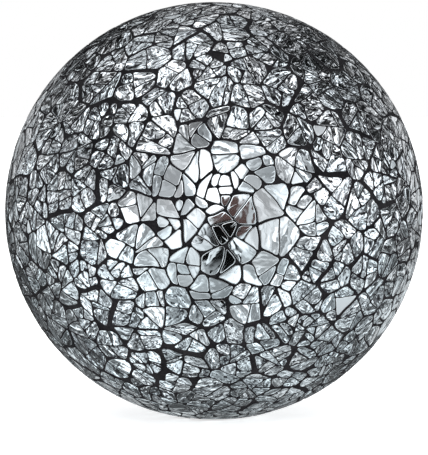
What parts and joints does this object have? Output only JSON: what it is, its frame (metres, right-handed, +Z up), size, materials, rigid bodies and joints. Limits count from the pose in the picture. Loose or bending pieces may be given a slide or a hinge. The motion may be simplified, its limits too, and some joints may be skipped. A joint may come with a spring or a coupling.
{
  "type": "mosaic mirror ball",
  "caption": "Round table ornament with broken mirror glass set in dark grout, resting on a small flat spot underneath.",
  "frame": {"origin": "centre of the small flat spot on the underside, which is the bottom centre of the ball", "axes": "+Z up through the ball's centre, -Y towards the pictured side, +X to its right as seen from the front"},
  "size_m": [0.0998, 0.0999, 0.0994],
  "materials": {
    "grout": "matte",
    "mirror_glass": "polished"
  },
  "bodies": {
    "root": {"grout_ball": "grout", "glass_shard_01": "mirror_glass", "glass_shard_02": "mirror_glass", "glass_shard_03": "mirror_glass", "glass_shard_04": "mirror_glass", "glass_shard_05": "mirror_glass", "glass_shard_06": "mirror_glass", "glass_shard_07": "mirror_glass", "glass_shard_08": "mirror_glass", "glass_shard_09": "mirror_glass", "glass_shard_10": "mirror_glass", "glass_shard_11": "mirror_glass", "glass_shard_12": "mirror_glass", "glass_shard_13": "mirror_glass", "glass_shard_14": "mirror_glass", "glass_shard_15": "mirror_glass", "glass_shard_16": "mirror_glass", "glass_shard_17": "mirror_glass", "glass_shard_18": "mirror_glass", "glass_shard_19": "mirror_glass", "glass_shard_20": "mirror_glass", "glass_shard_21": "mirror_glass", "glass_shard_22": "mirror_glass", "glass_shard_23": "mirror_glass", "glass_shard_24": "mirror_glass", "glass_shard_25": "mirror_glass", "glass_shard_26": "mirror_glass", "glass_shard_27": "mirror_glass", "glass_shard_28": "mirror_glass", "glass_shard_29": "mirror_glass", "glass_shard_30": "mirror_glass", "glass_shard_31": "mirror_glass", "glass_shard_32": "mirror_glass", "glass_shard_33": "mirror_glass", "glass_shard_34": "mirror_glass", "glass_shard_35": "mirror_glass", "glass_shard_36": "mirror_glass", "glass_shard_37": "mirror_glass", "glass_shard_38": "mirror_glass", "glass_shard_39": "mirror_glass", "glass_shard_40": "mirror_glass", "glass_shard_41": "mirror_glass", "glass_shard_42": "mirror_glass", "glass_shard_43": "mirror_glass", "glass_shard_44": "mirror_glass", "glass_shard_45": "mirror_glass", "glass_shard_46": "mirror_glass", "glass_shard_47": "mirror_glass", "glass_shard_48": "mirror_glass", "glass_shard_49": "mirror_glass", "glass_shard_50": "mirror_glass", "glass_shard_51": "mirror_glass", "glass_shard_52": "mirror_glass", "glass_shard_53": "mirror_glass", "glass_shard_54": "mirror_glass", "glass_shard_55": "mirror_glass", "glass_shard_56": "mirror_glass", "glass_shard_57": "mirror_glass", "glass_shard_58": "mirror_glass", "glass_shard_59": "mirror_glass"}
  },
  "joints": []
}
